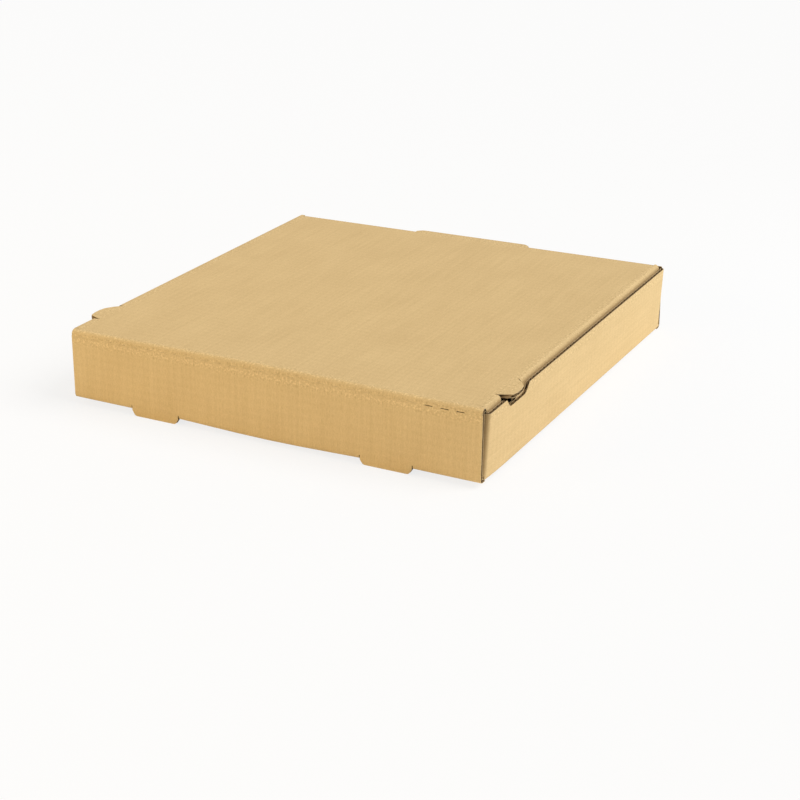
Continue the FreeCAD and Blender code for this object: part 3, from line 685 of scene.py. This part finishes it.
def side_wall(name, hand):
    """Leaning side wall with the bend at its foot and its two corner flaps.

    Across the flutes the sheet follows the wall's plan, flap to flap. Along them it follows the
    section from the floor over the bend and up the wall.
    """
    piece = Piece(name)
    plan = Fold([(-REAR_FLAP, REAR_TUCK - FLAP_FACE), (0, REAR_TUCK - FLAP_FACE), (0, FLAP_FACE),
                 (-FRONT_FLAP, FLAP_FACE)], OUTER)
    section = Fold([(FLOOR_SEAM, FLOOR), (HALF_WIDTH, FLOOR),
                    (HALF_WIDTH + SIDE_HEIGHT * math.sin(LEAN),
                     FLOOR + SIDE_HEIGHT * math.cos(LEAN))], OUTER)
    wall_start = plan.bends[0][1]
    wall_end = plan.bends[1][0]
    base = section.bends[0][1] - FOOT
    corner = REAR_FLAP - BOARD
    front_corner = plan.length - FRONT_FLAP + BOARD
    notch = outline([(NOTCH_REAR, 0), (NOTCH_REAR + NOTCH_SLOPE, -NOTCH_DEPTH),
                     (NOTCH_FRONT - NOTCH_SLOPE, -NOTCH_DEPTH), (NOTCH_FRONT, 0)], NOTCH_CORNER)

    def wall_line(y):
        return wall_start + y - WALL_REAR

    def place(u, v, depth):
        x_fold, z_fold = section.at(u, depth)
        inward, y = plan.at(v, depth)
        up = u - base
        x_lean = HALF_WIDTH + inward * math.cos(LEAN) + up * math.sin(LEAN)
        z_lean = FLOOR - inward * math.sin(LEAN) + up * math.cos(LEAN)
        flat = (v > wall_start - TOUCH) & (v < wall_end + TOUCH)
        return np.where(flat, x_fold, x_lean), y, np.where(flat, z_fold, z_lean)

    def foot_place(u, v, depth):
        x, z = section.at(u, depth)
        return x, v - wall_start + WALL_REAR, z

    def top(v):
        """Height of the upper edge: level wall with its notch, then a step down to each flap."""
        rear = np.clip(corner - v, 0, None)
        front = np.clip(v - front_corner, 0, None)
        step = FLAP_STEP * np.clip((rear + front) / STEP_RUN, 0, 1)
        return SIDE_HEIGHT - step - FLAP_FALL * (rear + front) + notch(v - wall_line(0))

    def shape(u, v):
        """Spread the lines above the flaps' lower edge up to the wall's upper edge."""
        share = np.clip((u - base - FLAP_LIFT) / (SIDE_HEIGHT - FLAP_LIFT), 0, 1)
        return u + share * (top(v) - SIDE_HEIGHT), v

    def keep(u, v):
        return (u > base + FLAP_LIFT) | ((v > wall_start) & (v < wall_end))

    near_lock = HALF_WIDTH - LOCK_OUTSIDE
    far_lock = HALF_WIDTH - LOCK_INSIDE
    lock_tip = LOCK_TIP - FLOOR
    creases = ([base + SIDE_HEIGHT], ())
    # Painted shade spreads from the rear flap's end of the corner bend, tucked in behind the hinge
    # wall
    painted_shade_lines = ((), [plan.bends[0][0]])
    columns = [0.0, *section.bend_stops(), base + FLAP_LIFT, base + SIDE_HEIGHT]
    rows = [0.0, corner, corner - STEP_RUN, front_corner, front_corner + STEP_RUN,
            *plan.bend_stops(), plan.length,
            *wall_line(np.arange(NOTCH_REAR, NOTCH_FRONT + NOTCH_STEP, NOTCH_STEP))]
    piece.board(place, columns, rows, keep, shape, creases, hand, WALL_STEP, painted_shade_lines)
    for start, end in ((wall_start - CORNER_FOOT, wall_start), (wall_end, wall_end + CORNER_FOOT)):
        piece.board(foot_place, columns[:-1], [start, end], hand=hand, painted_shade_lines=painted_shade_lines)

    def lock_edge(inward):
        return (lock_tip - inward * math.sin(LEAN)) / math.cos(LEAN)

    lock = outline([(REAR_FLAP - far_lock, FLAP_LIFT), (REAR_FLAP - far_lock, lock_edge(far_lock)),
                    (REAR_FLAP - near_lock, lock_edge(near_lock)),
                    (REAR_FLAP - near_lock, FLAP_LIFT)], LOCK_PLAY)
    lock_top = base + FLAP_LIFT

    def lock_shape(u, v):
        share = (lock_top - u) / STRETCHED_ROW
        return lock_top - share * (FLAP_LIFT - lock(v)), v

    piece.board(place, [lock_top - STRETCHED_ROW, lock_top],
                [REAR_FLAP - far_lock, REAR_FLAP - near_lock], shape=lock_shape, hand=hand)
    return piece


# Lid, along the line from the tuck flap's edge over the front bend to the rear seam
LID_LINE = Fold([(LID_FRONT - FLAP_IN, FLAP_BOTTOM), (LID_FRONT, LID_TOP), (REAR_SEAM, LID_TOP)],
                OUTER)


def panel_line(y):
    """Place on the blank of a line across the lid's panel."""
    return LID_LINE.length - (y - REAR_SEAM)


def panel_y(v):
    """How far forward a line across the lid's panel lies."""
    return REAR_SEAM + LID_LINE.length - v


def lid_panel():
    """Top panel with the tuck flap at its front, the thumb tongue and both ears."""
    piece = Piece("lid_panel")
    section = LID_LINE
    bend_start, bend_end = section.bends[0]
    crease = (bend_start + bend_end) / 2
    hinge_crease = section.length + REAR_SEAM + HALF_DEPTH

    def place(u, v, depth):
        return u, *section.at(v, depth)

    def flap_line(z):
        return (z - FLAP_BOTTOM) / math.cos(LEAN)

    knots = [0, TONGUE_HALF, TUCK_END, SLIT_SIDE]
    creases = (both([SIDE_CREASE]), [crease, hinge_crease])

    def shape(u, v):
        """Slant the tongue's window and the tuck flap's ends."""
        z = FLAP_BOTTOM + v * math.cos(LEAN)
        below = np.clip(FOLD_END - z, 0, None)
        window = np.clip(below / (FOLD_END - TONGUE_WINDOW), 0, 1) * TONGUE_TAPER
        x = np.abs(u)
        x = x - window * hat(x, knots, 1) - below * FLAP_TAPER * hat(x, knots, 2)
        return np.copysign(x, u), v

    def keep(u, v):
        x = np.abs(u)
        window = (x < TONGUE_HALF) & (v > flap_line(TONGUE_WINDOW)) & (v < panel_line(FRONT_BEND))
        flap_end = (x > TUCK_END) & (v < flap_line(FOLD_END))
        side = (x > PANEL_SEAM) & (v > panel_line(FRONT_SEAM))
        return ~(window | flap_end | side)

    columns = both([0.0, TONGUE_HALF, TUCK_END, PANEL_SEAM, SLIT_SIDE])
    rows = [0.0, flap_line(TONGUE_WINDOW), flap_line(FOLD_END), *section.bend_stops(),
            panel_line(FRONT_BEND), panel_line(FRONT_SEAM), section.length]
    piece.board(place, columns, rows, keep, shape, creases, u_step=LID_STEP)

    base = panel_line(FRONT_BEND)
    tongue = outline([(-TONGUE_HALF, panel_line(LID_FRONT)),
                      (TONGUE_TAPER - TONGUE_HALF, panel_line(TONGUE_TIP)),
                      (TONGUE_HALF - TONGUE_TAPER, panel_line(TONGUE_TIP)),
                      (TONGUE_HALF, panel_line(LID_FRONT))], TONGUE_CORNER)
    tip = panel_line(TONGUE_TIP)

    def level_place(u, v, depth):
        return u, panel_y(v), LID_TOP - depth

    piece.board(level_place, [-TONGUE_HALF, TONGUE_HALF], [tip, base],
                shape=stretched(base, tip, tongue), creases=creases, u_step=TONGUE_STEP)

    ear = outline([(EAR_REAR, PANEL_SEAM), (EAR_REAR + TOUCH, EAR_TIP), (EAR_CROWN, EAR_TIP),
                   (EAR_FRONT, SIDE_BEND + INNER)], (EAR_CORNER, EAR_SWEEP))

    def ear_shape(u, v):
        share = (u - PANEL_SEAM) / (EAR_TIP - PANEL_SEAM)
        return PANEL_SEAM + share * (ear(panel_y(v)) - PANEL_SEAM), v

    ear_rows = [panel_line(EAR_REAR), panel_line(EAR_FRONT)]
    for hand in (1, -1):
        piece.board(level_place, [PANEL_SEAM, EAR_TIP], ear_rows, shape=ear_shape,
                    creases=creases, hand=hand, u_step=EAR_STEP)
    return piece


LOOKUP_POINTS = 2000


def lid_side(name, hand, slant):
    """Side bend and side flap of the lid, open where the ear stays flat.

    The bend bulges outwards where it rises to the lid's top at less than the flap's own slant.
    """
    piece = Piece(name)
    foot = LID_EDGE - (LID_TOP - BULGE_FOOT) * math.tan(LEAN)
    corner = foot + (LID_TOP - BULGE_FOOT) / math.tan(slant)
    section = Fold([(LID_EDGE - FLAP_IN, FLAP_BOTTOM), (foot, BULGE_FOOT), (corner, LID_TOP),
                    (PANEL_SEAM, LID_TOP)], (BULGE_RADIUS, OUTER))
    side_end = section.length + PANEL_SEAM
    rear_end = REAR_SEAM + CORNER_SLIT
    knots = [-HALF_DEPTH, SIDE_REAR, EAR_REAR, EAR_FRONT, SIDE_FRONT, LID_FRONT]

    def place(u, v, depth):
        x, z = section.at(side_end - u, depth)
        return x, panel_y(v), z

    def height(u):
        return section.at(side_end - u)[1]

    def across(z):
        lengths = np.linspace(0, section.length, LOOKUP_POINTS)
        return side_end - np.interp(z, section.at(lengths)[1], lengths)

    def shape(u, v):
        """Slant the flap's two ends and the front edge of the ear's window."""
        y = panel_y(v)
        below = np.clip(FOLD_END - height(u), 0, None)
        window = np.clip(below / (FOLD_END - EAR_WINDOW), 0, 1) * (EAR_CROWN - EAR_FRONT)
        y = (y + below * FLAP_TAPER * (hat(y, knots, 1) - hat(y, knots, 4))
             + window * hat(y, knots, 3))
        return u, panel_line(y)

    def keep(u, v):
        y = panel_y(v)
        low = height(u) < FOLD_END
        ends = low & ((y < SIDE_REAR) | (y > SIDE_FRONT))
        window = (y > EAR_REAR) & (y < EAR_FRONT) & (height(u) > EAR_WINDOW)
        by_slit = ((u < SIDE_BEND) & (y > FRONT_SEAM)) | ((u > SIDE_BEND) & (y < rear_end))
        return ~(ends | window | by_slit)

    bends = side_end - section.bend_stops()
    columns = [PANEL_SEAM, SIDE_BEND, *bends, across(FOLD_END), across(EAR_WINDOW),
               across(FLAP_BOTTOM)]
    rows = [panel_line(y) for y in (REAR_SEAM, rear_end, SIDE_REAR, EAR_REAR, EAR_FRONT,
                                    SIDE_FRONT, FRONT_SEAM, LID_FRONT - EDGE)]
    # Painted shade spreads over the side bend from the line where the flap tucks into the side wall
    piece.board(place, columns, rows, keep, shape, ([SIDE_CREASE], ()), hand, WALL_STEP,
                ([across(PAINTED_SHADE_LEVEL)], ()))
    return piece


def hinge_fold():
    """The perforated crease between the hinge wall and the lid's panel."""
    piece = Piece("hinge_fold")
    section = Fold([(REAR_SEAM, LID_TOP), (-HALF_DEPTH, LID_TOP), (-HALF_DEPTH, WALL_TOP)], OUTER)
    crest = REAR_SEAM + HALF_DEPTH

    def place(u, v, depth):
        return u, *section.at(v, depth)

    piece.board(place, both([HINGE_SIDE]), [0.0, *section.bend_stops(HINGE_STEPS), section.length],
                creases=((), [crest]), u_step=SLIT_LENGTH)
    return piece


tray_pieces = [tray_spine(), side_wall("side_wall_right", 1), side_wall("side_wall_left", -1)]
lid_pieces = [lid_panel(), lid_side("lid_side_right", 1, PLAIN_SLANT),
              lid_side("lid_side_left", -1, BULGE_SLANT)]
for body, pieces in (("tray", tray_pieces), ("lid", lid_pieces)):
    for piece in pieces:
        made = piece.build(PAPERS)
        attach(made, body)
        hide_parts(body)

# The hinge fold turns in a narrow zone that crosses its crest from the wall to the panel
hinge = hinge_fold().build(PAPERS)
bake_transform(hinge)


# Floor: a plane through the tips of the two tabs and the front right corner of the box
TAB_MIDDLE = (TAB_INSIDE + TAB_OUTSIDE) / 2
CONTACTS = ((-TAB_MIDDLE, -HALF_DEPTH, 0), (TAB_MIDDLE, -HALF_DEPTH, 0),
            (FLOOR_SEAM, HALF_DEPTH - OUTER, FLOOR))
GROUND_DROP = 0.2
GROUND_HALF = 12000.0
FLOOR_GREY = (0.92, 0.92, 0.92, 1)
FLOOR_GLOW = 0.8


def ground():
    """Pale floor, white to the camera, which keeps the soft shadow of the box."""
    left, right, front = settled(np.array(CONTACTS, float))
    normal = np.cross(right - left, front - left)
    x = np.array([-1, 1, 1, -1]) * GROUND_HALF
    y = np.array([-1, -1, 1, 1]) * GROUND_HALF
    z = (left @ normal - x * normal[0] - y * normal[1]) / normal[2] - GROUND_DROP
    corners = np.stack([x, y, z], -1) * MM
    mesh = bpy.data.meshes.new("ground")
    mesh.from_pydata(corners.tolist(), [], [(0, 1, 2, 3)])
    made = bpy.data.objects.new("ground", mesh)
    bpy.context.scene.collection.objects.link(made)
    material = bpy.data.materials.new("white_floor")
    shader = Shader(material)
    rays = shader.add("ShaderNodeLightPath")
    matt = shader.add("ShaderNodeBsdfDiffuse", None, {"Color": FLOOR_GREY})
    glow = shader.add("ShaderNodeEmission", None, {"Color": (1, 1, 1, 1), "Strength": 1.0})
    seen = rays["Is Camera Ray"] + rays["Is Glossy Ray"] + rays["Is Transmission Ray"]
    surface = shader.add("ShaderNodeMixShader", None, {0: seen * FLOOR_GLOW, 1: matt, 2: glow})
    shader.add("ShaderNodeOutputMaterial", None, {"Surface": surface})
    mesh.materials.append(material)
    return made


ground()


# Light


def white_world(strength):
    """White to the camera, and an even soft light to everything else."""
    world = bpy.data.worlds.new("studio")
    bpy.context.scene.world = world
    shader = Shader(world)
    rays = shader.add("ShaderNodeLightPath")
    seen = rays["Is Camera Ray"] + rays["Is Glossy Ray"] + rays["Is Transmission Ray"]
    light = strength + (1 - strength) * seen
    sky = shader.add("ShaderNodeBackground", None, {"Color": (1, 1, 1, 1), "Strength": light})
    shader.add("ShaderNodeOutputWorld", None, {"Surface": sky})


def soft_sun(name, towards, strength, colour, angle):
    """A wide soft lamp that shines from a direction."""
    lamp = bpy.data.lights.new(name, "SUN")
    lamp.energy = strength
    lamp.color = colour
    lamp.angle = math.radians(angle)
    made = bpy.data.objects.new(name, lamp)
    made.rotation_euler = Vector(towards).to_track_quat("Z", "Y").to_euler()
    bpy.context.scene.collection.objects.link(made)


def soft_panel(name, place, towards, size, power, colour):
    """A square soft lamp at a place, in metres, that shines towards another."""
    lamp = bpy.data.lights.new(name, "AREA")
    lamp.energy = power
    lamp.color = colour
    lamp.size = size
    made = bpy.data.objects.new(name, lamp)
    made.location = place
    made.rotation_euler = (Vector(place) - Vector(towards)).to_track_quat("Z", "Y").to_euler()
    bpy.context.scene.collection.objects.link(made)


white_world(0.41)
soft_sun("key", (0.52, 0.12, 0.54), 2.08, (1.0, 0.99, 0.97), 40)
soft_panel("fill", (-1.6, -2.0, 0.6), (0, -0.18, 0.03), 1.5, 26.0, (1.0, 0.68, 0.15))
soft_panel("far_side", (0.62, 0.42, 0.16), (0.18, 0.15, 0.04), 0.3, 0.6, (0.85, 0.95, 1.0))


# Camera, at the photograph's viewing angle, fitted to the corners of the box
AZIMUTH = math.radians(27.81)
ELEVATION = math.radians(22.48)
ROLL = math.radians(-0.37)
DISTANCE = 1477.0
FOCAL_PIXELS = 1770.0
PHOTO_WIDTH = 800
SENSOR = 36.0
AIM = Vector((0, 0, 31))
ASIDE = 15.1
BELOW = -57.6


def add_camera():
    """Camera that looks down on the near right corner of the box."""
    back = Vector((math.sin(AZIMUTH) * math.cos(ELEVATION), -math.cos(AZIMUTH) * math.cos(ELEVATION),
                   math.sin(ELEVATION)))
    level = Vector((math.cos(AZIMUTH), math.sin(AZIMUTH), 0))
    up = back.cross(level)
    right = level * math.cos(ROLL) + up * math.sin(ROLL)
    up = up * math.cos(ROLL) - level * math.sin(ROLL)
    place = (AIM + back * DISTANCE + right * ASIDE + up * BELOW) * MM
    data = bpy.data.cameras.new("camera")
    data.sensor_fit = "HORIZONTAL"
    data.sensor_width = SENSOR
    data.lens = FOCAL_PIXELS / PHOTO_WIDTH * SENSOR
    data.clip_start = 0.05
    data.clip_end = 50
    camera = bpy.data.objects.new("camera", data)
    turn = Matrix((right, up, back)).transposed().to_4x4()
    camera.matrix_world = Matrix.Translation(place) @ turn
    bpy.context.scene.collection.objects.link(camera)
    bpy.context.scene.camera = camera


add_camera()
bpy.context.scene.view_settings.view_transform = "Standard"
